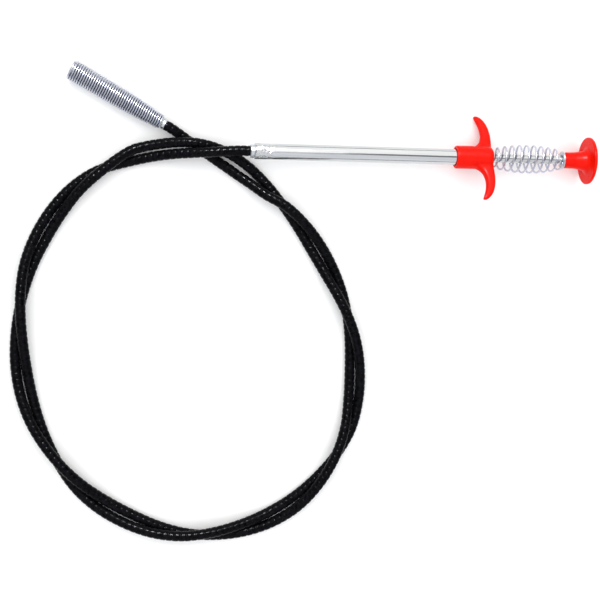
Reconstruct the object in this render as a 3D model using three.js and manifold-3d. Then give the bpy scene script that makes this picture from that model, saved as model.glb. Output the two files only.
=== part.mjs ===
// Drain auger with a plunger handle: pushing the thumb button drives a cable through a
// flexible hose, and a four-fingered claw slides out of the spring head and opens.
//
// Millimetres. +X runs along the handle from the hose end to the thumb button, +Z is up,
// and the object lies on the plane z = 0. The origin is under the middle of the handle.
import * as THREE from "three";
import * as BufferGeometryUtils from "three/addons/utils/BufferGeometryUtils.js";
import Module from "manifold-3d";

const wasm = await Module();
wasm.setup();

// ---------------------------------------------------------------- driving dimensions

const GAP = 0.3; // between pieces that touch
const HANDLE_LENGTH = 201; // hose ferrule to thumb face
const DISC_RADIUS = 13.7; // thumb disc, on whose edge the handle lies
const AXIS_HEIGHT = DISC_RADIUS;

const TUBE_RADIUS = 4.6;
const TUBE_BORE = 3.8;
const ROD_RADIUS = 2.4;
const CABLE_RADIUS = 0.9;

const GUARD_START = 18.8;
const GUARD_END = 41.1;
const GUARD_RADIUS = 6.65;
const HORN_TILT = THREE.MathUtils.degToRad(26); // the lower horn's tip touches the table
const HORN_THICKNESS = 4.4;

const SPRING_START = GUARD_END + GAP;
const SPRING_END = 83;
const SPRING_TURNS = 9.2;
const SPRING_WIRE = 0.55; // wire radius
const SPRING_END_RADIUS = 5.1; // to the middle of the wire, at both ends
const SPRING_MIDDLE_RADIUS = 7.9;

const WASHER_THICKNESS = 0.9;
const HUB_START = SPRING_END + WASHER_THICKNESS + 2 * GAP;
const HUB_RADIUS = 4.6;
const DISC_THICKNESS = 1.8;

const HOSE_RADIUS = 2.95;
const HOSE_BORE = 2.3;
const LINER_RADIUS = 1.95;
const LINER_BORE = 1.35;
const HOSE_SIDES = 8;
const HOSE_STEPS = 80;

const HEAD_LENGTH = 57.9; // spring head, neck to tip
const HEAD_RADIUS = 5.85;
const HEAD_BORE = 4.3;
const HEAD_ANGLE = THREE.MathUtils.degToRad(151); // direction that the head points in
const FINGER_RADIUS = 0.5;
const FINGER_LENGTH = 24;
const FINGER_COUNT = 4;

const THUMB_FACE_X = HANDLE_LENGTH / 2;
const FERRULE_FACE_X = -HANDLE_LENGTH / 2;

// ---------------------------------------------------------------- materials

function material(color, roughness, metalness) {
  return new THREE.MeshStandardMaterial({ color, roughness, metalness });
}

const chrome = material(0xd4d7da, 0.12, 1);
const zincPlate = material(0xb9bcc0, 0.35, 1);
const redPlastic = material(0xf0301f, 0.3, 0);
const blackVinyl = material(0x141416, 0.45, 0);
const springSteel = material(0xc3ccd8, 0.22, 1);
const cableSteel = material(0x8f9296, 0.4, 1);
const bushPlastic = material(0xe6e2d8, 0.5, 0);

// ---------------------------------------------------------------- shape helpers

// A piece turned about the X axis. Its outline is a list of [radius, x] corners, which
// closes on itself or runs from the axis to the axis.
function turned(outline, segments = 24) {
  const points = outline.map(([radius, x]) => new THREE.Vector2(radius, x));
  if (THREE.ShapeUtils.isClockWise(points)) {
    points.reverse();
  }
  const onAxis = points.some((point) => point.x === 0);
  if (onAxis) {
    while (points[0].x !== 0 || points.at(-1).x !== 0) {
      points.push(points.shift());
    }
  } else {
    points.push(points[0].clone());
  }
  return new THREE.LatheGeometry(points, segments).rotateZ(-Math.PI / 2);
}

// A round bar or sleeve from x = start to x = end.
function sleeve(start, end, outer, bore, segments) {
  return turned([[bore, start], [outer, start], [outer, end], [bore, end]], segments);
}

// The points of a regular polygon with the given number of sides.
function polygon(radius, sides) {
  const points = [];
  for (let i = 0; i < sides; i += 1) {
    const angle = (2 * Math.PI * i) / sides;
    points.push(new THREE.Vector2(radius * Math.cos(angle), radius * Math.sin(angle)));
  }
  return points;
}

// A round section swept along a curve, with a bore when one is given.
function swept(curve, radius, bore, sides, steps) {
  const section = new THREE.Shape(polygon(radius, sides));
  if (bore > 0) {
    section.holes.push(new THREE.Path(polygon(bore, sides)));
  }
  return new THREE.ExtrudeGeometry(section, { steps, bevelEnabled: false, extrudePath: curve });
}

function toManifold(geometry) {
  const bare = geometry.clone();
  bare.deleteAttribute("normal");
  bare.deleteAttribute("uv");
  const merged = BufferGeometryUtils.mergeVertices(bare, 1e-4);
  return new wasm.Manifold(new wasm.Mesh({
    numProp: 3,
    vertProperties: new Float32Array(merged.attributes.position.array),
    triVerts: new Uint32Array(merged.index.array),
  }));
}

function fromManifold(solid) {
  const mesh = solid.getMesh();
  const geometry = new THREE.BufferGeometry();
  geometry.setAttribute("position", new THREE.BufferAttribute(mesh.vertProperties, 3));
  geometry.setIndex(new THREE.BufferAttribute(mesh.triVerts, 1));
  return geometry;
}

function piece(name, geometry, finish) {
  const mesh = new THREE.Mesh(geometry, finish);
  mesh.name = name;
  return mesh;
}

// ---------------------------------------------------------------- handle

// A crimped ring and spigot that hold the hose in the end of the tube.
function tubeFerrule() {
  const ringEnd = FERRULE_FACE_X + 2;
  const spigotEnd = ringEnd + 12;
  const ringRadius = 3.7;
  const spigotRadius = TUBE_BORE - GAP;
  const bore = CABLE_RADIUS + 0.7;
  return turned([
    [bore, FERRULE_FACE_X],
    [ringRadius, FERRULE_FACE_X],
    [ringRadius, ringEnd],
    [spigotRadius, ringEnd],
    [spigotRadius, spigotEnd],
    [bore, spigotEnd],
  ]);
}

const TUBE_START = FERRULE_FACE_X + 2 + GAP;
const TUBE_END = 36;

function guardBody() {
  const tubeSeat = TUBE_RADIUS + GAP;
  const rodHole = ROD_RADIUS + 0.5;
  const seatEnd = TUBE_END + GAP;
  return turned([
    [tubeSeat, GUARD_START],
    [GUARD_RADIUS - 0.5, GUARD_START],
    [GUARD_RADIUS, GUARD_START + 0.6],
    [GUARD_RADIUS, GUARD_END - 1.6],
    [GUARD_RADIUS - 0.5, GUARD_END - 0.5],
    [GUARD_RADIUS - 1.5, GUARD_END],
    [rodHole, GUARD_END],
    [rodHole, seatEnd],
    [tubeSeat, seatEnd],
  ], 32);
}

// One finger horn: a curved blade in the XY plane whose hollow side faces the hose.
function hornBlade() {
  const root = 5.5; // inside the guard's wall
  const outline = new THREE.Shape();
  outline.moveTo(31, root);
  outline.splineThru([
    new THREE.Vector2(34.2, 10),
    new THREE.Vector2(35.4, 15),
    new THREE.Vector2(34.9, 20),
    new THREE.Vector2(33, 25.2),
  ]);
  outline.quadraticCurveTo(32.4, 27.4, 34.4, 27);
  outline.splineThru([
    new THREE.Vector2(38.2, 24),
    new THREE.Vector2(40.7, 18),
    new THREE.Vector2(41.3, 11),
    new THREE.Vector2(40.6, root),
  ]);
  const bevel = 0.4;
  const blade = new THREE.ExtrudeGeometry(outline, {
    depth: HORN_THICKNESS - 2 * bevel,
    curveSegments: 4,
    bevelThickness: bevel,
    bevelSize: bevel,
    bevelOffset: -bevel,
    bevelSegments: 1,
  });
  return blade.translate(0, 0, bevel - HORN_THICKNESS / 2);
}

function fingerGuard() {
  const horn = hornBlade();
  const oppositeHorn = horn.clone().rotateX(Math.PI);
  const whole = toManifold(guardBody()).add(toManifold(horn)).add(toManifold(oppositeHorn));
  return fromManifold(whole);
}

const BUSH_START = 24;

function guideBush() {
  return sleeve(BUSH_START, TUBE_END, TUBE_BORE - GAP, ROD_RADIUS + GAP);
}

// ---------------------------------------------------------------- plunger

const ROD_START = -20;
const ROD_END = 96;

function thumbButton() {
  const discStart = THUMB_FACE_X - DISC_THICKNESS;
  const rodSeat = ROD_RADIUS + GAP;
  const seatEnd = ROD_END + GAP;
  const rim = 0.5;
  return turned([
    [rodSeat, HUB_START],
    [HUB_RADIUS, HUB_START],
    [HUB_RADIUS + 0.2, 91],
    [HUB_RADIUS + 0.8, 95],
    [HUB_RADIUS + 1.6, 97.5],
    [HUB_RADIUS + 3.2, discStart],
    [DISC_RADIUS - rim, discStart],
    [DISC_RADIUS, discStart + rim],
    [DISC_RADIUS, THUMB_FACE_X - rim],
    [DISC_RADIUS - rim, THUMB_FACE_X],
    [0, THUMB_FACE_X],
    [0, seatEnd],
    [rodSeat, seatEnd],
  ], 32);
}

// The spring pushes the button through this washer.
function springWasher() {
  const start = SPRING_END + GAP;
  return sleeve(start, start + WASHER_THICKNESS, 5.2, ROD_RADIUS + GAP);
}

function plungerRod() {
  return turned([[0, ROD_START], [ROD_RADIUS, ROD_START], [ROD_RADIUS, ROD_END], [0, ROD_END]]);
}

// The collar that stops against the guide bush and keeps the plunger in the handle.
function rodStopCollar() {
  const end = BUSH_START - GAP;
  return sleeve(end - 3, end, TUBE_BORE - GAP, ROD_RADIUS + GAP);
}

// The crimp that joins the cable to the rod: solid at the rod end, bored at the cable end.
function cableCrimp() {
  const end = ROD_START - GAP;
  const start = end - 9;
  const outer = ROD_RADIUS;
  const bore = CABLE_RADIUS + GAP;
  return turned([
    [0, end],
    [outer, end],
    [outer, start],
    [bore, start],
    [bore, end - 2],
    [0, end - 2],
  ], 16);
}

function cableHandleEnd() {
  const end = ROD_START - GAP - 2 - GAP;
  const start = end - 38;
  return turned([[0, start], [CABLE_RADIUS, start], [CABLE_RADIUS, end], [0, end]], 8);
}

// The return spring is a left-handed barrel: its turns are widest halfway along.
class BarrelHelix extends THREE.Curve {
  getPoint(t, target = new THREE.Vector3()) {
    const angle = 2 * Math.PI * SPRING_TURNS * t;
    const bulge = (SPRING_MIDDLE_RADIUS - SPRING_END_RADIUS) * Math.sin(Math.PI * t) ** 0.7;
    const radius = SPRING_END_RADIUS + bulge;
    const x = THREE.MathUtils.lerp(SPRING_START + SPRING_WIRE, SPRING_END - SPRING_WIRE, t);
    return target.set(x, -radius * Math.cos(angle), radius * Math.sin(angle));
  }
}

function returnSpring() {
  const stepsPerTurn = 14;
  return swept(new BarrelHelix(), SPRING_WIRE, 0, 6, Math.round(SPRING_TURNS * stepsPerTurn));
}

// ---------------------------------------------------------------- hose route

// The hose lies in two turns of one wide loop. The middle of the pair is a closed curve
// about LOOP_CENTRE, with this radius at every 30 degrees from +X.
const LOOP_CENTRE = new THREE.Vector2(-135.5, -109);
const LOOP_RADII = [98, 93, 98, 110, 107, 98, 92, 94.5, 102, 110, 114, 109];

// The two turns lie side by side, PAIR_SPACING apart, and change places at these angles.
const CROSSINGS = [8, 55, 113, 167, 222, 272, 320];
const PAIR_SPACING = 6.3;
const REST_HEIGHT = HOSE_RADIUS + 0.1; // the hose's middle, where it lies on the table
const EASE = 0.15; // rounds the foot of each hump where one turn climbs over the other

const loop = new THREE.CatmullRomCurve3(
  LOOP_RADII.map((radius, i) => {
    const angle = (2 * Math.PI * i) / LOOP_RADII.length;
    return new THREE.Vector3(
      LOOP_CENTRE.x + radius * Math.cos(angle),
      LOOP_CENTRE.y + radius * Math.sin(angle),
      0,
    );
  }),
  true,
);

// How many crossings lie between angle 0 and this angle, with fractions in between.
function crossingsPassed(degrees) {
  const turn = Math.floor(degrees / 360);
  const within = degrees - 360 * turn;
  const marks = [CROSSINGS.at(-1) - 360, ...CROSSINGS, CROSSINGS[0] + 360];
  const next = marks.findIndex((mark) => mark > within);
  const part = (within - marks[next - 1]) / (marks[next] - marks[next - 1]);
  return turn * CROSSINGS.length + next - 2 + part;
}

// A point of the hose on the loop, weaving over and under the other turn.
function layPoint(degrees) {
  const phase = Math.PI * crossingsPassed(degrees);
  const at = (((degrees % 360) + 360) % 360) / 360;
  const centre = loop.getPoint(at);
  const along = loop.getTangent(at);
  const outward = new THREE.Vector3(along.y, -along.x, 0);
  const side = (PAIR_SPACING / 2) * Math.sin(phase);
  const over = -Math.cos(phase);
  const climb = (PAIR_SPACING / 2) * (over + Math.hypot(over, EASE));
  const point = centre.addScaledVector(outward, side);
  point.z = REST_HEIGHT + climb;
  return point;
}

function layTurn(from, to, spacing) {
  const points = [];
  for (let degrees = from; degrees <= to; degrees += spacing) {
    points.push(layPoint(degrees));
  }
  return points;
}

// Out of the handle, over the two strands that cross here, and down to the table.
const HOSE_START = FERRULE_FACE_X - GAP;
const EXIT_POINTS = [
  [HOSE_START, 0, AXIS_HEIGHT],
  [-106, 0, 13.7],
  [-112.5, -0.4, 13.7],
  [-119.5, -1, 13.6],
  [-127, -1.5, 13.2],
  [-135, -2, 11.5],
  [-143, -2.6, 8.9],
  [-151, -3.6, 6.1],
  [-159, -5.1, 4],
  [-167.5, -7.2, 3.2],
];

// The start of the second turn, over the hose's own far end.
const ARC_POINTS = [
  [-88, -20, 3.1],
  [-98.5, -9.8, 3.2],
  [-108, -3.2, 3.9],
  [-116.8, 0.7, 6.2],
  [-124.5, 2.8, 8.8],
  [-131.5, 3.8, 9.8],
  [-138.5, 4, 9.4],
  [-145, 3.6, 8.5],
  [-151.5, 2.7, 7.6],
  [-159, 1.2, 7.4],
  [-167, -1.4, 8.2],
];

// The far end, under the second turn and up to the head.
const TAIL_POINTS = [
  [-90.5, -24.2, 7.6],
  [-98.8, -18.4, 5.1],
  [-106, -13.6, 3.5],
  [-114, -8.3, 3.1],
  [-122.4, -2.8, 3.1],
  [-131, 2.8, 3.2],
  [-139.5, 8.6, 4.5],
  [-143.6, 11.2, 5.55],
  [-147.9, 13.6, 5.95],
];

function handPlaced(points) {
  return points.map(([x, y, z]) => new THREE.Vector3(x, y, z));
}

const hosePoints = [
  ...handPlaced(EXIT_POINTS),
  ...layTurn(117, 414, 9),
  ...handPlaced(ARC_POINTS),
  ...layTurn(477, 774, 9),
  ...handPlaced(TAIL_POINTS),
];
const hoseRoute = new THREE.CatmullRomCurve3(hosePoints);

function hoseTube(radius, bore) {
  return swept(hoseRoute, radius, bore, HOSE_SIDES, HOSE_STEPS);
}

// ---------------------------------------------------------------- head and claw

// The head is made along +X from its neck, and placed at the hose's far end.
const NECK_END = 2.4;
const CARRIER_FRONT = HEAD_LENGTH + NECK_END - 1 - FINGER_LENGTH - GAP;

function headFerrule() {
  return sleeve(GAP, NECK_END - GAP, 3.3, 1.6, 16);
}

// The close-wound spring head as a sleeve: narrow neck, tapered shoulder, straight barrel.
function headSpring() {
  const tip = NECK_END + HEAD_LENGTH;
  const shoulder = NECK_END + 6.8;
  const barrel = NECK_END + 24;
  return turned([
    [2.8, NECK_END],
    [4.3, NECK_END],
    [4.3, shoulder],
    [4.8, shoulder + 0.8],
    [HEAD_RADIUS - 0.2, barrel],
    [HEAD_RADIUS, tip],
    [HEAD_BORE, tip],
    [HEAD_BORE, barrel + 1],
    [3.3, shoulder + 1.5],
    [2.8, shoulder],
  ]);
}

function clawCarrier() {
  const start = CARRIER_FRONT - 7;
  const bore = CABLE_RADIUS + GAP;
  return turned([
    [0, CARRIER_FRONT],
    [2.4, CARRIER_FRONT],
    [2.4, start + 1],
    [2, start],
    [bore, start],
    [bore, CARRIER_FRONT - 2],
    [0, CARRIER_FRONT - 2],
  ], 16);
}

function cableClawEnd() {
  const end = CARRIER_FRONT - 2 - GAP;
  const start = NECK_END + 1;
  return turned([[0, start], [CABLE_RADIUS, start], [CABLE_RADIUS, end], [0, end]], 8);
}

// A wire finger that leaves the carrier and hooks in at its tip. It lies in the XY plane.
function clawFinger() {
  const start = CARRIER_FRONT + GAP;
  const wire = new THREE.CatmullRomCurve3([
    new THREE.Vector3(start, 1.5, 0),
    new THREE.Vector3(start + 11, 1.7, 0),
    new THREE.Vector3(start + FINGER_LENGTH - 2.5, 1.95, 0),
    new THREE.Vector3(start + FINGER_LENGTH - 0.8, 1.6, 0),
    new THREE.Vector3(start + FINGER_LENGTH - 0.3, 1, 0),
  ]);
  return swept(wire, FINGER_RADIUS, 0, 6, 14);
}

// ---------------------------------------------------------------- assembly

const plunger = new THREE.Group();
plunger.add(
  piece("thumb_button", thumbButton(), redPlastic),
  piece("spring_washer", springWasher(), zincPlate),
  piece("plunger_rod", plungerRod(), chrome),
  piece("rod_stop_collar", rodStopCollar(), zincPlate),
  piece("cable_crimp", cableCrimp(), zincPlate),
  piece("cable_handle_end", cableHandleEnd(), cableSteel),
);

const fingerGuardMesh = piece("finger_guard", fingerGuard(), redPlastic);
fingerGuardMesh.rotation.x = -HORN_TILT;

const handle = new THREE.Group();
handle.position.z = AXIS_HEIGHT;
handle.add(
  piece("handle_tube", sleeve(TUBE_START, TUBE_END, TUBE_RADIUS, TUBE_BORE, 32), chrome),
  piece("tube_ferrule", tubeFerrule(), zincPlate),
  fingerGuardMesh,
  piece("guide_bush", guideBush(), bushPlastic),
  piece("return_spring", returnSpring(), springSteel),
  plunger,
);

const hose = new THREE.Group();
hose.add(
  piece("hose_sheath", hoseTube(HOSE_RADIUS, HOSE_BORE), blackVinyl),
  piece("hose_coil_liner", hoseTube(LINER_RADIUS, LINER_BORE), springSteel),
  piece("inner_cable", hoseTube(CABLE_RADIUS, 0), cableSteel),
);

const claw = new THREE.Group();
claw.add(
  piece("claw_carrier", clawCarrier(), zincPlate),
  piece("cable_claw_end", cableClawEnd(), cableSteel),
);
for (let i = 0; i < FINGER_COUNT; i += 1) {
  const finger = piece(`claw_finger_${i + 1}`, clawFinger(), springSteel);
  finger.rotation.x = Math.PI / 4 + (i * 2 * Math.PI) / FINGER_COUNT;
  claw.add(finger);
}

const head = new THREE.Group();
head.position.copy(hosePoints.at(-1));
head.rotation.z = HEAD_ANGLE;
head.add(
  piece("head_ferrule", headFerrule(), zincPlate),
  piece("head_spring", headSpring(), springSteel),
  claw,
);

const drainAuger = new THREE.Group();
drainAuger.add(handle, hose, head);

export default drainAuger;
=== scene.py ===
"""Looks of the drain auger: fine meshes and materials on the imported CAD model.

Blender works in metres. Shape dimensions are written in millimetres times MM, and outlines
in plain millimetres. Places, the hose's route and its length are in metres. +X runs along the
handle to the thumb button, +Z is up.
"""

import math

import bmesh
import bpy
import numpy as np
from mathutils import Matrix, Vector


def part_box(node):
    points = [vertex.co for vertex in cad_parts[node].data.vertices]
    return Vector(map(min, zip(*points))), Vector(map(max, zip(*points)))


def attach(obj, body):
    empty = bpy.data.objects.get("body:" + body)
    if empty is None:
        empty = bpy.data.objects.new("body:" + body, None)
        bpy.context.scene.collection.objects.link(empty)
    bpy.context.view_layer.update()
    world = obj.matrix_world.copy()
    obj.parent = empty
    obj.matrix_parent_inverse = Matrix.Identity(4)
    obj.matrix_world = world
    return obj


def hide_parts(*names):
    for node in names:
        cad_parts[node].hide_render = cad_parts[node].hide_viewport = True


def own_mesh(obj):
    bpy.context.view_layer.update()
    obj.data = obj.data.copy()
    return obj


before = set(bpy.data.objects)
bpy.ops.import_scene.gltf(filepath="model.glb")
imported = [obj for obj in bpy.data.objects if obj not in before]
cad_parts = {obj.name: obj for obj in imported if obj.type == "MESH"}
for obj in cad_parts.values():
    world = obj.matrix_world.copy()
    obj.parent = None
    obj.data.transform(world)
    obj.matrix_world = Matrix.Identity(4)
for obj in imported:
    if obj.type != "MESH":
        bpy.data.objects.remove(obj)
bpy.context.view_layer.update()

MM = 0.001

# ---------------------------------------------------------------- dimensions

AXIS_HEIGHT = 13.7 * MM  # of the handle's axis
CABLE_RADIUS = 0.9 * MM

TUBE_RADIUS = 4.6 * MM
TUBE_BORE = 3.8 * MM  # radius
TUBE_LIP = 0.25 * MM  # size of the rounding at the tube's ends
CRIMP_LENGTH = 10.5 * MM
CRIMP_SWAGE = 0.12 * MM  # how much smaller the tube's radius is along the crimp
CRIMP_EASE = 0.45 * MM  # length over which the swage fades out
DENT_ROWS = 9
DENT_ROW_SPACING = 1 * MM
FIRST_DENT_ROW = 1.1 * MM  # from the end of the tube
DENTS_IN_ROW = 14
DENT_PLACE_SPREAD = 0.13 * MM  # how far dents stray along the tube
DENT_TURN_SPREAD = 0.07  # and around it, in radians
DENT_DEPTHS = (0.12 * MM, 0.38 * MM)
DENT_SIZES = (0.3 * MM, 0.55 * MM)
DEEPEST_DENT = 0.4 * MM  # where several dents overlap

HORN_TILT = math.radians(26)
HORN_WIDTH_POWER = 0.6  # below 1, it squares the horn's round section across its width
HORN_DEPTH_POWER = 0.65

RETURN_SPRING_TURNS = 9.2
RETURN_SPRING_WIRE = 0.55 * MM  # wire radius
RETURN_SPRING_END = 5.1 * MM  # radius to the middle of the wire, at both ends
RETURN_SPRING_MIDDLE = 7.9 * MM
RETURN_SPRING_BULGE = 0.7  # below 1, it makes the barrel fuller towards its ends

HOSE_RADIUS = 2.95 * MM
LINER_RADIUS = 1.95 * MM
RIB_PITCH = 3.5 * MM
RIB_DEPTH = 0.24 * MM
RIB_WIDTH_POWER = 6  # the higher, the narrower the groove between two ribs
RINGS_PER_RIB = 16

HEAD_ORIGIN = Vector((-0.1479, 0.0136, 0.00595))
HEAD_ANGLE = math.radians(151)
HEAD_PITCH = 1.37 * MM
HEAD_WIRE = 0.6 * MM  # wire radius
HEAD_WIRE_START = math.radians(15)  # where the wire starts around the axis
GROOVE_SHADE_POWER = 0.8  # below 1, it spreads the painted shade up the sides of the wire
FINGER_RADIUS = 0.5 * MM
FINGER_COUNT = 4

# ---------------------------------------------------------------- hose route, as in the CAD

LOOP_CENTRE = Vector((-0.1355, -0.109))
LOOP_RADII = [
    0.098, 0.093, 0.098, 0.110, 0.107, 0.098,
    0.092, 0.0945, 0.102, 0.110, 0.114, 0.109,
]  # at every 30 degrees from +X
CROSSINGS = [8, 55, 113, 167, 222, 272, 320]  # degrees where the two turns change places
PAIR_SPACING = 0.0063
REST_HEIGHT = 0.00305
EASE = 0.15
ROUTE_STEP = 9  # degrees from one point of the route to the next

EXIT_POINTS = [
    (-0.1008, 0, 0.0137),
    (-0.106, 0, 0.0137),
    (-0.1125, -0.0004, 0.0137),
    (-0.1195, -0.001, 0.0136),
    (-0.127, -0.0015, 0.0132),
    (-0.135, -0.002, 0.0115),
    (-0.143, -0.0026, 0.0089),
    (-0.151, -0.0036, 0.0061),
    (-0.159, -0.0051, 0.004),
    (-0.1675, -0.0072, 0.0032),
]
ARC_POINTS = [
    (-0.088, -0.02, 0.0031),
    (-0.0985, -0.0098, 0.0032),
    (-0.108, -0.0032, 0.0039),
    (-0.1168, 0.0007, 0.0062),
    (-0.1245, 0.0028, 0.0088),
    (-0.1315, 0.0038, 0.0098),
    (-0.1385, 0.004, 0.0094),
    (-0.145, 0.0036, 0.0085),
    (-0.1515, 0.0027, 0.0076),
    (-0.159, 0.0012, 0.0074),
    (-0.167, -0.0014, 0.0082),
]
TAIL_POINTS = [
    (-0.0905, -0.0242, 0.0076),
    (-0.0988, -0.0184, 0.0051),
    (-0.106, -0.0136, 0.0035),
    (-0.114, -0.0083, 0.0031),
    (-0.1224, -0.0028, 0.0031),
    (-0.131, 0.0028, 0.0032),
    (-0.1395, 0.0086, 0.0045),
    (-0.1436, 0.0112, 0.00555),
    (-0.1479, 0.0136, 0.00595),
]


def catmull_rom(p0, p1, p2, p3, t):
    """Point and direction at t, from p1 to p2, of a centripetal Catmull-Rom curve."""
    d0, d1, d2 = (math.sqrt(np.linalg.norm(b - a)) for a, b in ((p0, p1), (p1, p2), (p2, p3)))
    start = ((p1 - p0) / d0 - (p2 - p0) / (d0 + d1) + (p2 - p1) / d1) * d1
    end = ((p2 - p1) / d1 - (p3 - p1) / (d1 + d2) + (p3 - p2) / d2) * d1
    square = -3 * p1 + 3 * p2 - 2 * start - end
    cube = 2 * p1 - 2 * p2 + start + end
    point = p1 + start * t + square * t * t + cube * t**3
    return point, start + 2 * square * t + 3 * cube * t * t


def curve_through(points, steps):
    """Points of a smooth open curve, with this many steps between each two given points."""
    points = [np.array(p, float) for p in points]
    points = [2 * points[0] - points[1], *points, 2 * points[-1] - points[-2]]
    made = []
    for i in range(1, len(points) - 2):
        for k in range(steps):
            made.append(catmull_rom(*points[i - 1 : i + 3], k / steps)[0])
    made.append(points[-2])
    return np.array(made)


LOOP_KNOTS = [
    np.array([
        LOOP_CENTRE.x + radius * math.cos(2 * math.pi * i / len(LOOP_RADII)),
        LOOP_CENTRE.y + radius * math.sin(2 * math.pi * i / len(LOOP_RADII)),
    ])
    for i, radius in enumerate(LOOP_RADII)
]


def crossings_passed(degrees):
    """How many crossings lie between angle 0 and this angle, with fractions in between."""
    turn, within = divmod(degrees, 360)
    marks = [CROSSINGS[-1] - 360, *CROSSINGS, CROSSINGS[0] + 360]
    after = next(i for i, mark in enumerate(marks) if mark > within)
    part = (within - marks[after - 1]) / (marks[after] - marks[after - 1])
    return turn * len(CROSSINGS) + after - 2 + part


def lay_point(degrees):
    """A point of the hose on the loop, weaving over and under the other turn."""
    phase = math.pi * crossings_passed(degrees)
    at = degrees % 360 / 360 * len(LOOP_KNOTS)
    knot = int(at)
    around = [LOOP_KNOTS[(knot + k) % len(LOOP_KNOTS)] for k in (-1, 0, 1, 2)]
    centre, along = catmull_rom(*around, at - knot)
    along = along / np.linalg.norm(along)
    outward = np.array([along[1], -along[0]])
    x, y = centre + outward * PAIR_SPACING / 2 * math.sin(phase)
    over = -math.cos(phase)
    climb = PAIR_SPACING / 2 * (over + math.hypot(over, EASE))
    return (x, y, REST_HEIGHT + climb)


def lay_turn(first, last):
    """Points of the loop from one angle to another, in degrees counted on over both turns."""
    return [lay_point(degrees) for degrees in range(first, last + 1, ROUTE_STEP)]


hose_points = [
    *EXIT_POINTS,
    *lay_turn(117, 414),
    *ARC_POINTS,
    *lay_turn(477, 774),
    *TAIL_POINTS,
]


def evenly(points, spacing):
    """The same line with its points this far apart."""
    steps = np.linalg.norm(np.diff(points, axis=0), axis=1)
    along = np.concatenate([[0], np.cumsum(steps)])
    places = np.linspace(0, along[-1], round(along[-1] / spacing) + 1)
    return np.stack([np.interp(places, along, points[:, k]) for k in range(3)], axis=1), places


# ---------------------------------------------------------------- mesh helpers


def mesh_piece(name, vertices, faces, body, slot, material, nodes, matrix=None):
    """A smooth-shaded mesh in the place of these CAD nodes."""
    mesh = bpy.data.meshes.new(name)
    mesh.from_pydata([tuple(v) for v in vertices], [], faces)
    mesh.update()
    mesh.shade_smooth()
    return placed(bpy.data.objects.new(name, mesh), body, material, nodes, matrix)


def placed(piece, body, material, nodes, matrix=None):
    """Give a piece its place, material and body, and hide the CAD nodes that it replaces."""
    bpy.context.scene.collection.objects.link(piece)
    if matrix is not None:
        piece.matrix_world = matrix
    piece.data.materials.clear()
    piece.data.materials.append(material)
    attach(piece, body)
    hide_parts(*nodes)
    return piece


def ring_faces(rings, sides, closed_loop=False):
    """Four-sided faces between rings of vertices that follow one another."""
    faces = []
    for i in range(rings if closed_loop else rings - 1):
        a, b = i * sides, (i + 1) % rings * sides
        for k in range(sides):
            n = (k + 1) % sides
            faces.append((a + k, a + n, b + n, b + k))
    return faces


def rounded(outline, radius, closed):
    """The outline with its corners rounded, and a point beside each arc that keeps flats flat."""
    arc_points = 5
    largest_share = 0.3  # of a side that one corner may take up
    beside = 1.5  # distance of the points beside an arc, in units of the arc's reach
    corners = [np.array(p, float) for p in outline]
    made = []
    for i, corner in enumerate(corners):
        if not closed and i in (0, len(corners) - 1):
            made.append(corner)
            continue
        before, after = corners[i - 1], corners[(i + 1) % len(corners)]
        a, b = before - corner, after - corner
        shorter = min(np.linalg.norm(a), np.linalg.norm(b))
        reach = min(radius, largest_share * shorter)
        a, b = a / np.linalg.norm(a), b / np.linalg.norm(b)
        start, end = corner + a * reach, corner + b * reach
        made.append(corner + a * reach * beside)
        for t in np.linspace(0, 1, arc_points):
            made.append((1 - t) ** 2 * start + 2 * t * (1 - t) * corner + t * t * end)
        made.append(corner + b * reach * beside)
    return made


def revolve(outline, radius=0.25 * MM, sides=96):
    """Vertices and faces of an outline of (x, radius) corners turned about the X axis.
    The outline closes on itself, or runs from the axis to the axis."""
    closed = outline[0][1] > 0
    points = rounded(outline, radius, closed)
    angles = 2 * np.pi * np.arange(sides) / sides
    vertices = [(x, r * math.cos(a), r * math.sin(a)) for x, r in points for a in angles]
    faces = ring_faces(len(points), sides, closed)
    if not closed:  # one vertex on the axis at each end
        vertices = [(points[0][0], 0, 0), *vertices[sides:-sides], (points[-1][0], 0, 0)]
        first = [(0, 1 + (k + 1) % sides, 1 + k) for k in range(sides)]
        base = 1 + (len(points) - 3) * sides
        last = [(base + k, base + (k + 1) % sides, len(vertices) - 1) for k in range(sides)]
        middle = [tuple(1 + v for v in f) for f in ring_faces(len(points) - 2, sides)]
        faces = [*first, *middle, *last]
    return np.array(vertices), faces


def turned_piece(name, outline, body, slot, material, matrix, radius=0.25 * MM):
    """A turned piece whose outline is in millimetres. It replaces the node of its own name."""
    vertices, faces = revolve([(x * MM, r * MM) for x, r in outline], radius)
    node = name.removesuffix("_fine")
    return mesh_piece(name, vertices, faces, body, slot, material, [node], matrix)


def sweep(centres, radius, sides):
    """Vertices and faces of a tube along the centres. The radius is a number, one number for
    each centre, or one for each centre and side."""
    centres = np.asarray(centres, float)
    along = np.gradient(centres, axis=0)
    along /= np.linalg.norm(along, axis=1)[:, None]
    across = np.cross(along[0], (0.0, 0.0, 1.0))
    if np.linalg.norm(across) < 0.1:
        across = np.cross(along[0], (0.0, 1.0, 0.0))
    angles = 2 * np.pi * np.arange(sides) / sides
    radii = np.asarray(radius, float)
    if radii.ndim == 1:
        radii = radii[:, None]
    radii = np.broadcast_to(radii, (len(centres), sides))
    vertices = []
    for centre, direction, ring in zip(centres, along, radii):
        across = across - direction * (across @ direction)
        across /= np.linalg.norm(across)
        up = np.cross(direction, across)
        offsets = np.outer(np.cos(angles), across) + np.outer(np.sin(angles), up)
        vertices.extend(centre + offsets * ring[:, None])
    last = (len(centres) - 1) * sides
    faces = ring_faces(len(centres), sides)
    faces.append(tuple(reversed(range(sides))))
    faces.append(tuple(range(last, last + sides)))
    return np.array(vertices), faces


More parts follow.
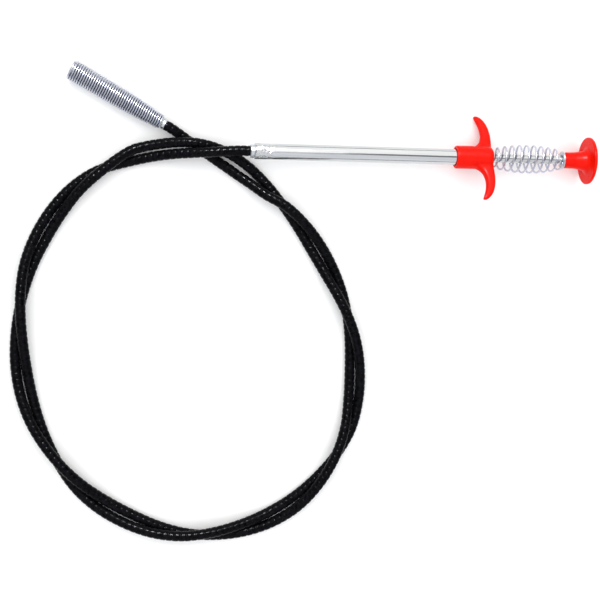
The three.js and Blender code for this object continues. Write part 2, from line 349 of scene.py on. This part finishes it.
def round_ended(centres, radius):
    """Radii that close a wire's two ends in half rounds."""
    steps = np.linalg.norm(np.diff(centres, axis=0), axis=1)
    along = np.concatenate([[0], np.cumsum(steps)])
    from_end = np.minimum(along, along[-1] - along)
    share = np.clip(from_end / radius, 0.02, 1)
    return radius * np.sqrt(1 - (1 - share) ** 2)


# ---------------------------------------------------------------- materials


def noise(nodes, links, coordinates, scale, stretch, detail=3.0):
    """A noise on the piece's own coordinates, stretched by the given factors."""
    mapping = nodes.new("ShaderNodeMapping")
    mapping.inputs["Scale"].default_value = stretch
    links.new(coordinates, mapping.inputs["Vector"])
    texture = nodes.new("ShaderNodeTexNoise")
    texture.inputs["Scale"].default_value = scale
    texture.inputs["Detail"].default_value = detail
    links.new(mapping.outputs["Vector"], texture.inputs["Vector"])
    return texture.outputs["Fac"]


def spread(nodes, links, value, low, high):
    """The noise's middle range mapped to the range from low to high."""
    mapped = nodes.new("ShaderNodeMapRange")
    mapped.inputs["From Min"].default_value = 0.3
    mapped.inputs["From Max"].default_value = 0.7
    mapped.inputs["To Min"].default_value = low
    mapped.inputs["To Max"].default_value = high
    links.new(value, mapped.inputs["Value"])
    return mapped.outputs["Result"]


GROOVE_SHADE = "groove"  # mesh attribute for painted shade, 1 deep between a spring's turns and 0 on their crests


def surface(name, colors, roughness, metallic=0.0, specular=0.5, coat=0.0,
            color_scale=300, color_stretch=(1, 1, 1), grain_scale=2500,
            grain_stretch=(1, 1, 1), bump=0.1, bump_distance=0.02 * MM, groove=None):
    """A material whose colour and roughness wander between two values, with a fine grain.
    The groove colour, where there is one, is painted shade that fills the mesh's parts marked
    with that attribute."""
    material = bpy.data.materials.new(name)
    material.use_nodes = True
    nodes, links = material.node_tree.nodes, material.node_tree.links
    shader = nodes["Principled BSDF"]
    shader.inputs["Metallic"].default_value = metallic
    shader.inputs["Specular IOR Level"].default_value = specular
    shader.inputs["Coat Weight"].default_value = coat
    coordinates = nodes.new("ShaderNodeTexCoord").outputs["Object"]
    patches = noise(nodes, links, coordinates, color_scale, color_stretch)
    mix = nodes.new("ShaderNodeMix")
    mix.data_type = "RGBA"
    mix.inputs["A"].default_value = (*colors[0], 1)
    mix.inputs["B"].default_value = (*colors[1], 1)
    links.new(spread(nodes, links, patches, 0, 1), mix.inputs["Factor"])
    color = mix.outputs["Result"]
    if groove:
        marked = nodes.new("ShaderNodeAttribute")
        marked.attribute_name = GROOVE_SHADE
        shade = nodes.new("ShaderNodeMix")
        shade.data_type = "RGBA"
        shade.inputs["B"].default_value = (*groove, 1)
        links.new(marked.outputs["Fac"], shade.inputs["Factor"])
        links.new(color, shade.inputs["A"])
        color = shade.outputs["Result"]
    links.new(color, shader.inputs["Base Color"])
    grain = noise(nodes, links, coordinates, grain_scale, grain_stretch)
    links.new(spread(nodes, links, grain, *roughness), shader.inputs["Roughness"])
    relief = nodes.new("ShaderNodeBump")
    relief.inputs["Strength"].default_value = bump
    relief.inputs["Distance"].default_value = bump_distance
    links.new(grain, relief.inputs["Height"])
    links.new(relief.outputs["Normal"], shader.inputs["Normal"])
    return material


DRAWN = (0.04, 1, 1)  # stretches a noise along the X axis, as drawing does to a bar
chrome = surface("chrome", [(0.52, 0.53, 0.54), (0.60, 0.61, 0.62)], (0.06, 0.13), 1.0,
                 color_scale=500, color_stretch=DRAWN, grain_scale=3000,
                 grain_stretch=DRAWN, bump=0.08)
zinc = surface("zinc_plate", [(0.48, 0.50, 0.53), (0.62, 0.64, 0.67)], (0.22, 0.38), 1.0,
               color_scale=700, bump=0.25)
red = surface("red_plastic", [(0.73, 0.005, 0.0005), (0.79, 0.008, 0.001)], (0.26, 0.36),
              specular=0.08, color_scale=120, grain_scale=900, bump=0.12,
              bump_distance=0.05 * MM)
vinyl = surface("black_vinyl", [(0.0002, 0.0002, 0.0005), (0.006, 0.006, 0.008)], (0.14, 0.24),
                specular=0.04, color_scale=600, grain_scale=2200, bump=0.35,
                bump_distance=0.05 * MM)
# The groove colour is painted shade: dark navy between the head spring's turns.
spring_wire = surface("spring_steel", [(0.50, 0.52, 0.60), (0.64, 0.66, 0.75)],
                      (0.22, 0.34), 1.0, color_scale=400, grain_scale=1800, bump=0.12,
                      groove=(0.015, 0.025, 0.06))
cable = surface("cable_steel", [(0.30, 0.31, 0.33), (0.62, 0.63, 0.66)], (0.25, 0.45), 1.0,
                color_scale=1200, color_stretch=(0.5, 1, 1), grain_scale=2500, bump=0.4)
bush = surface("bush_plastic", [(0.70, 0.67, 0.58), (0.80, 0.77, 0.69)], (0.4, 0.55),
               color_scale=200, grain_scale=1500, bump=0.15)

# ---------------------------------------------------------------- places

handle_axis = Matrix.Translation((0, 0, AXIS_HEIGHT))
head_axis = Matrix.Translation(HEAD_ORIGIN) @ Matrix.Rotation(HEAD_ANGLE, 4, "Z")

# ---------------------------------------------------------------- handle


def dent_depths(vertices, start):
    """How deep the crimping tool's dents, in staggered rows from start, press each vertex in."""
    angle_of = np.arctan2(vertices[:, 2], vertices[:, 1])
    chance = np.random.default_rng(7)
    press = np.zeros(len(vertices))
    for row in range(DENT_ROWS):
        for place in range(DENTS_IN_ROW):
            staggered = place + 0.5 * (row % 2)
            angle = 2 * math.pi * staggered / DENTS_IN_ROW + chance.normal(0, DENT_TURN_SPREAD)
            row_place = start + FIRST_DENT_ROW + row * DENT_ROW_SPACING
            x = row_place + chance.normal(0, DENT_PLACE_SPREAD)
            depth = chance.uniform(*DENT_DEPTHS)
            size = chance.uniform(*DENT_SIZES)
            turn = (angle_of - angle + np.pi) % (2 * np.pi) - np.pi
            far = ((vertices[:, 0] - x) ** 2 + (turn * TUBE_RADIUS) ** 2) / size**2
            press += depth * np.exp(-far)
    return press


def handle_tube():
    """A thin drawn tube, swaged and punched over the hose's ferrule."""
    low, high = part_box("handle_tube")
    start, end = low.x, high.x
    crimp_end = start + CRIMP_LENGTH
    lip = TUBE_LIP
    corner = 0.07 * MM  # how far the middle of a rounded edge lies inside the sharp corner
    fine_end = crimp_end + 2 * MM  # up to here the rings are close together, to hold the dents
    fine_spacing = 0.22 * MM
    coarse_rings = 60
    outer = [
        *np.arange(start + lip, fine_end, fine_spacing),
        *np.linspace(fine_end + 0.2 * MM, end - lip, coarse_rings),
    ]
    outline = [(x, TUBE_RADIUS) for x in outer]
    outline += [(end - corner, TUBE_RADIUS - corner), (end, TUBE_RADIUS - lip)]
    outline += [(end, TUBE_BORE + lip), (end - lip, TUBE_BORE)]
    outline += [(start + lip, TUBE_BORE), (start, TUBE_BORE + lip), (start, TUBE_RADIUS - lip)]
    outline += [(start + corner, TUBE_RADIUS - corner)]
    sides = 128
    angles = 2 * np.pi * np.arange(sides) / sides
    vertices = np.array([
        (x, r * math.cos(a), r * math.sin(a)) for x, r in outline for a in angles
    ])
    radius_of = np.hypot(vertices[:, 1], vertices[:, 2])
    press = np.minimum(dent_depths(vertices, start), DEEPEST_DENT)
    swage = CRIMP_SWAGE / (1 + np.exp((vertices[:, 0] - crimp_end) / CRIMP_EASE))
    outside = radius_of > (TUBE_RADIUS + TUBE_BORE) / 2
    smaller = np.where(outside, (radius_of - press - swage) / radius_of, 1)
    vertices[:, 1:] *= smaller[:, None]
    return vertices, ring_faces(len(outline), sides, closed_loop=True)


mesh_piece("handle_tube_fine", *handle_tube(), "body", "chrome", chrome,
           ["handle_tube"], handle_axis)

turned_piece("tube_ferrule_fine", [
    (-100.5, 1.6), (-100.5, 3.75), (-98.5, 3.75), (-98.5, 3.5), (-86.5, 3.5), (-86.5, 1.6),
], "body", "zinc_plate", zinc, handle_axis)

turned_piece("guide_bush_fine", [(24, 2.7), (24, 3.5), (36, 3.5), (36, 2.7)],
             "body", "bush_plastic", bush, handle_axis)

# Place along the handle's axis and radius, in millimetres.
GUARD_OUTLINE = [
    (18.8, 4.9), (18.8, 6.3), (19.3, 6.65), (38.2, 6.65), (39.8, 6.2), (40.8, 5.1),
    (41.1, 3.9), (41.1, 2.9), (36.3, 2.9), (36.3, 4.9),
]
# Distance from the axis, the blade's hose side, its button side and its half thickness,
# in millimetres.
HORN_STATIONS = [
    (5.3, 29.0, 41.0, 3.4),
    (6.6, 30.6, 41.0, 2.9),
    (8.2, 32.6, 41.1, 2.5),
    (10.5, 34.3, 41.25, 2.3),
    (15, 35.4, 41.1, 2.2),
    (20, 34.9, 40.1, 2.05),
    (23.5, 33.8, 38.6, 1.85),
    (25.6, 33.0, 36.9, 1.6),
    (26.8, 32.6, 35.4, 1.2),
    (27.3, 32.9, 34.3, 0.6),
]


def horn_mesh():
    """A horn as a loft of rounded sections along its distance from the axis."""
    stations = curve_through([s[:3] for s in HORN_STATIONS], 8)
    halves = curve_through([(s[0], s[3], 0) for s in HORN_STATIONS], 8)[:, 1]
    sides = 40
    angles = 2 * np.pi * np.arange(sides) / sides
    vertices = []
    for (distance, inner, outer), half in zip(stations, halves):
        for a in angles:
            c, s = math.cos(a), math.sin(a)
            across = math.copysign(abs(c) ** HORN_WIDTH_POWER, c)
            x = (inner + outer) / 2 + (outer - inner) / 2 * across
            z = half * math.copysign(abs(s) ** HORN_DEPTH_POWER, s)
            vertices.append((x * MM, distance * MM, z * MM))
    last = (len(stations) - 1) * sides
    faces = ring_faces(len(stations), sides)
    faces += [tuple(reversed(range(sides))), tuple(range(last, last + sides))]
    return np.array(vertices), faces


def finger_guard():
    """The guard's barrel and two horns, fused with moulded fillets."""
    shell = bmesh.new()
    horn, horn_faces = horn_mesh()
    opposite = horn * (1, -1, -1)
    barrel = revolve([(x * MM, r * MM) for x, r in GUARD_OUTLINE], 0.3 * MM)
    for vertices, faces in (barrel, (horn, horn_faces), (opposite, horn_faces)):
        made = [shell.verts.new(v) for v in vertices]
        for face in faces:
            shell.faces.new([made[i] for i in face])
    bmesh.ops.recalc_face_normals(shell, faces=shell.faces[:])
    mesh = bpy.data.meshes.new("finger_guard_rough")
    shell.to_mesh(mesh)
    shell.free()
    rough = bpy.data.objects.new("finger_guard_rough", mesh)
    bpy.context.scene.collection.objects.link(rough)
    remesh = rough.modifiers.new("Fuse", "REMESH")
    remesh.mode = "VOXEL"
    remesh.voxel_size = 0.24 * MM
    smooth = rough.modifiers.new("Fillet", "SMOOTH")
    smooth.factor = 0.5
    smooth.iterations = 8
    fused = bpy.data.meshes.new_from_object(
        rough.evaluated_get(bpy.context.evaluated_depsgraph_get())
    )
    bpy.data.objects.remove(rough)
    fused.transform(Matrix.Rotation(-HORN_TILT, 4, "X"))
    fused.shade_smooth()
    return bpy.data.objects.new("finger_guard_fine", fused)


placed(finger_guard(), "body", red, ["finger_guard"], handle_axis)

# ---------------------------------------------------------------- plunger


def plunger_piece(name, outline, slot, material, radius=0.25 * MM):
    return turned_piece(name, outline, "plunger", slot, material, handle_axis, radius)


plunger_piece("thumb_button_fine", [
    (96.3, 0), (96.3, 2.7), (84.5, 2.7), (84.5, 4.6), (91, 4.8), (95, 5.4), (97.5, 6.2),
    (98.7, 7.8), (98.7, 13.7), (100.5, 13.7), (100.5, 0),
], "red_plastic", red, 0.7 * MM)
plunger_piece("spring_washer_fine", [(83.3, 2.7), (83.3, 5.2), (84.2, 5.2), (84.2, 2.7)],
              "zinc_plate", zinc)
plunger_piece("plunger_rod_fine", [(-20, 0), (-20, 2.4), (96, 2.4), (96, 0)],
              "chrome", chrome, 0.4 * MM)
plunger_piece("rod_stop_collar_fine", [(20.7, 2.7), (20.7, 3.5), (23.7, 3.5), (23.7, 2.7)],
              "zinc_plate", zinc)
plunger_piece("cable_crimp_fine", [
    (-20.3, 0), (-20.3, 2.4), (-29.3, 2.4), (-29.3, 1.2), (-22.3, 1.2), (-22.3, 0),
], "zinc_plate", zinc)
plunger_piece("cable_handle_end_fine", [(-60.6, 0), (-60.6, 0.9), (-22.6, 0.9), (-22.6, 0)],
              "cable_steel", cable)


def return_spring():
    """The left-handed barrel spring between the guard and the washer."""
    low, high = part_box("return_spring")
    steps_per_turn = 64
    t = np.linspace(0, 1, round(RETURN_SPRING_TURNS * steps_per_turn) + 1)
    bulge = np.sin(np.pi * np.minimum(t, 1 - t)) ** RETURN_SPRING_BULGE
    radius = RETURN_SPRING_END + (RETURN_SPRING_MIDDLE - RETURN_SPRING_END) * bulge
    angle = 2 * np.pi * RETURN_SPRING_TURNS * t
    start, end = low.x + RETURN_SPRING_WIRE, high.x - RETURN_SPRING_WIRE
    x = start + (end - start) * t
    centres = np.stack([x, -radius * np.cos(angle), radius * np.sin(angle)], axis=1)
    return sweep(centres, round_ended(centres, RETURN_SPRING_WIRE), 14)


spring = mesh_piece("return_spring_fine", *return_spring(), "body", "spring_steel",
                    spring_wire, ["return_spring"], handle_axis)
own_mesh(spring)

# ---------------------------------------------------------------- hose

fine_line = curve_through(hose_points, 24)
ring_centres, ring_places = evenly(fine_line, RIB_PITCH / RINGS_PER_RIB)


def hose_sheath():
    """A vinyl skin drawn tight over a coil, so that a shallow rib winds along it."""
    sides = 20
    angles = 2 * np.pi * np.arange(sides) / sides
    phase = 2 * np.pi * ring_places[:, None] / RIB_PITCH + angles[None, :]
    rib = 0.5 + 0.5 * np.cos(phase)
    radii = HOSE_RADIUS - RIB_DEPTH * (1 - rib) ** RIB_WIDTH_POWER
    return sweep(ring_centres, radii, sides)


hose = mesh_piece("hose_sheath_fine", *hose_sheath(), "body", "black_vinyl", vinyl,
                  ["hose_sheath"])
inner_line, _ = evenly(fine_line, 2 * MM)
liner = mesh_piece("hose_coil_liner_fine", *sweep(inner_line, LINER_RADIUS, 12), "body",
                   "spring_steel", spring_wire, ["hose_coil_liner"])
core = mesh_piece("inner_cable_fine", *sweep(inner_line, CABLE_RADIUS, 10), "body",
                  "cable_steel", cable, ["inner_cable"])

# ---------------------------------------------------------------- head and claw


# Place along the head's axis and outer radius, in millimetres: a neck, a step and a long taper.
HEAD_OUTLINE = [(2.4, 4.3), (9.2, 4.35), (10, 4.8), (26.4, 5.65), (60.3, 5.85)]


def head_outer(x):
    """The outer radius of the head spring at x."""
    return np.interp(x / MM, *zip(*HEAD_OUTLINE)) * MM


def head_spring():
    """A close-wound spring that follows the head's outline."""
    steps_per_turn = 44
    start = HEAD_OUTLINE[0][0] * MM + HEAD_WIRE
    end = HEAD_OUTLINE[-1][0] * MM - HEAD_WIRE
    turns = (end - start) / HEAD_PITCH
    x = np.linspace(start, end, round(turns * steps_per_turn) + 1)
    radius = head_outer(x) - HEAD_WIRE
    angle = HEAD_WIRE_START + 2 * np.pi * (x - start) / HEAD_PITCH
    centres = np.stack([x, radius * np.cos(angle), radius * np.sin(angle)], axis=1)
    return sweep(centres, round_ended(centres, HEAD_WIRE), 12)


def mark_groove_shade(spring):
    """Mark how deep each point lies between the turns, for the painted shade that darkens the
    gaps there.
    """
    places = np.array([vertex.co for vertex in spring.data.vertices])
    depth = head_outer(places[:, 0]) - np.hypot(places[:, 1], places[:, 2])
    share = np.clip(depth / HEAD_WIRE, 0, 1) ** GROOVE_SHADE_POWER
    marks = spring.data.attributes.new(GROOVE_SHADE, "FLOAT", "POINT")
    marks.data.foreach_set("value", share)


head_spring_piece = mesh_piece("head_spring_fine", *head_spring(), "body", "spring_steel",
                               spring_wire, ["head_spring"], head_axis)
mark_groove_shade(head_spring_piece)
head_pieces = [
    head_spring_piece,
    turned_piece("head_ferrule_fine", [(0.3, 1.6), (0.3, 3.3), (2.1, 3.3), (2.1, 1.6)],
                 "body", "zinc_plate", zinc, head_axis),
    turned_piece("claw_carrier_fine", [
        (35, 0), (35, 2.4), (29, 2.4), (28, 2), (28, 1.2), (33, 1.2), (33, 0),
    ], "claw", "zinc_plate", zinc, head_axis),
    turned_piece("cable_claw_end_fine", [(3.4, 0), (3.4, 0.9), (32.7, 0.9), (32.7, 0)],
                 "claw", "cable_steel", cable, head_axis),
]

# The middle of a finger's wire, from its root to its hooked tip, in millimetres.
FINGER_LINE = [
    (35.3, 1.5, 0), (46.3, 1.7, 0), (56.8, 1.95, 0), (58.5, 1.6, 0), (59, 1.0, 0),
]
finger_centres = curve_through(FINGER_LINE, 20) * MM
for i in range(FINGER_COUNT):
    turn = Matrix.Rotation(math.pi / 4 + 2 * math.pi * i / FINGER_COUNT, 4, "X")
    head_pieces.append(mesh_piece(
        f"claw_finger_{i + 1}_fine",
        *sweep(finger_centres, round_ended(finger_centres, FINGER_RADIUS), 12),
        f"finger_{i + 1}", "spring_steel", spring_wire, [f"claw_finger_{i + 1}"],
        head_axis @ turn,
    ))

# ---------------------------------------------------------------- camera, floor and light


def aimed(obj, place, target, up):
    """Put the camera or light at its place, looking at the target."""
    place, target = Vector(place), Vector(target)
    forward = (target - place).normalized()
    right = forward.cross(Vector(up)).normalized()
    turn = Matrix((right, right.cross(forward), -forward)).transposed()
    obj.matrix_world = Matrix.Translation(place) @ turn.to_4x4()
    bpy.context.scene.collection.objects.link(obj)
    return obj


CAMERA_PLACE = (-0.19465, -0.0462, 0.7305)
CAMERA_TARGET = (-0.06835, -0.0844, 0)
CAMERA_UP = (-0.0189, 1, 0)

camera = bpy.data.cameras.new("camera")
camera.lens = 76.7
camera.sensor_width = 36
bpy.context.scene.camera = aimed(
    bpy.data.objects.new("camera", camera), CAMERA_PLACE, CAMERA_TARGET, CAMERA_UP,
)

FLOOR_REACH = 6.0
floor_mesh = bpy.data.meshes.new("floor")
floor_mesh.from_pydata(
    [(-FLOOR_REACH, -FLOOR_REACH, 0), (FLOOR_REACH, -FLOOR_REACH, 0),
     (FLOOR_REACH, FLOOR_REACH, 0), (-FLOOR_REACH, FLOOR_REACH, 0)], [], [(0, 1, 2, 3)])
floor = bpy.data.objects.new("floor", floor_mesh)
bpy.context.scene.collection.objects.link(floor)
floor.data.materials.append(surface(
    "pale_floor", [(0.94, 0.94, 0.94), (0.95, 0.95, 0.95)], (0.8, 0.9), specular=0.1,
    color_scale=3, grain_scale=60, bump=0.0))


LIGHT_TARGET = (-0.05, -0.061, 0)
LIGHT_UP = (1, 0, 0.01)  # a box's height lies along the handle, as far as its aim allows


def soft_light(name, place, size, radiance, color=(1, 1, 1)):
    """A soft box of this size at this place, facing the part."""
    light = bpy.data.lights.new(name, "AREA")
    light.shape = "RECTANGLE"
    light.size, light.size_y = size
    light.energy = radiance * math.pi * size[0] * size[1]
    light.color = color
    return aimed(bpy.data.objects.new(name, light), place, LIGHT_TARGET, LIGHT_UP)


# Two big tilted boxes leave a gap overhead, and a third fills its hose end.
soft_light("far_box", (-0.05, 1.6, 1.6), (3.3, 3.6), 1.2, (1.0, 0.99, 0.96))
soft_light("near_box", (-0.05, -1.72, 1.6), (3.2, 3.6), 0.8, (0.95, 0.96, 1.0))
soft_light("overhead_box", (-0.49, 0.07, 1.9), (0.8, 1.8), 1.0)
glint = soft_light("glint", (-0.1, 0.9, 1.35), (0.12, 0.12), 1250, (0.93, 0.95, 1.0))
glint.visible_diffuse = False  # it only draws sparks on the glossy parts
for name, place, size, radiance in (
    ("fill", (-0.05, -0.06, 2.2), (3.4, 3.4), 0.8),
    ("side_fill", (-2.2, -0.3, 1.0), (1.6, 3.0), 1.2),
):
    soft_light(name, place, size, radiance).visible_glossy = False  # softens the shadows

world = bpy.data.worlds.new("studio")
bpy.context.scene.world = world
world.use_nodes = True
sky = world.node_tree.nodes["Background"]
sky.inputs["Strength"].default_value = 0.3
sky.inputs["Color"].default_value = (0.96, 0.98, 1.0, 1)
bpy.context.scene.view_settings.view_transform = "Standard"
